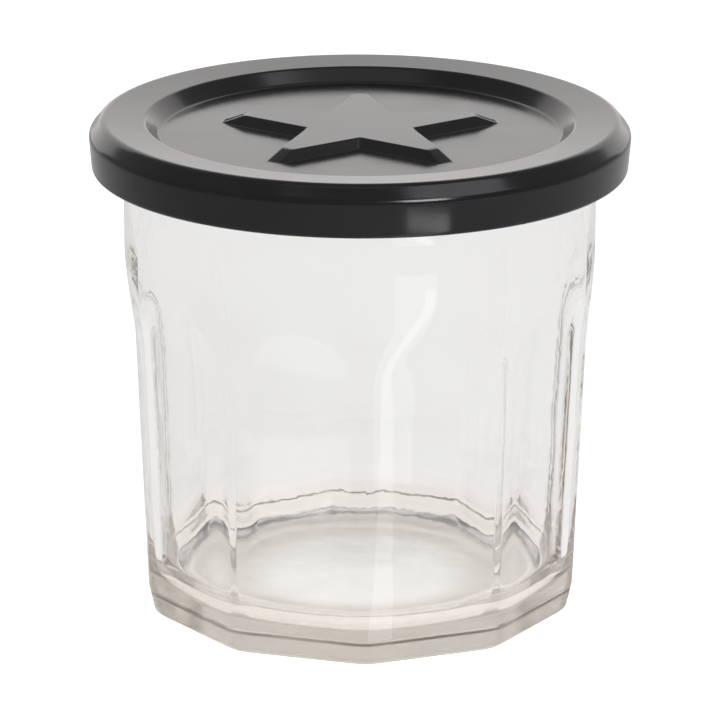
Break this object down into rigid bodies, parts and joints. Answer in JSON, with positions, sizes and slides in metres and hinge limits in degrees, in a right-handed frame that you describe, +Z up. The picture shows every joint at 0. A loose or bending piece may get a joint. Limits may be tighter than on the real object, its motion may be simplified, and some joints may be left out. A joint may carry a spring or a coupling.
{
  "type": "lidded jam jar",
  "caption": "Clear pressed-glass jam jar, its flat panels running up into arches below a round neck, closed by a black push-on plastic lid with a raised star.",
  "frame": {"origin": "centre of the jar's foot, on the surface that it stands on", "axes": "+Z up through the middle of the jar and the lid; one point of the lid's star looks along +Y"},
  "size_m": [0.092, 0.092, 0.0856],
  "materials": {
    "glass": "clear pressed glass, polished, faintly rippled",
    "lid_plastic": "moulded black plastic with a soft gloss"
  },
  "bodies": {
    "root": {"jar": "glass", "lid": "lid_plastic"}
  },
  "joints": []
}
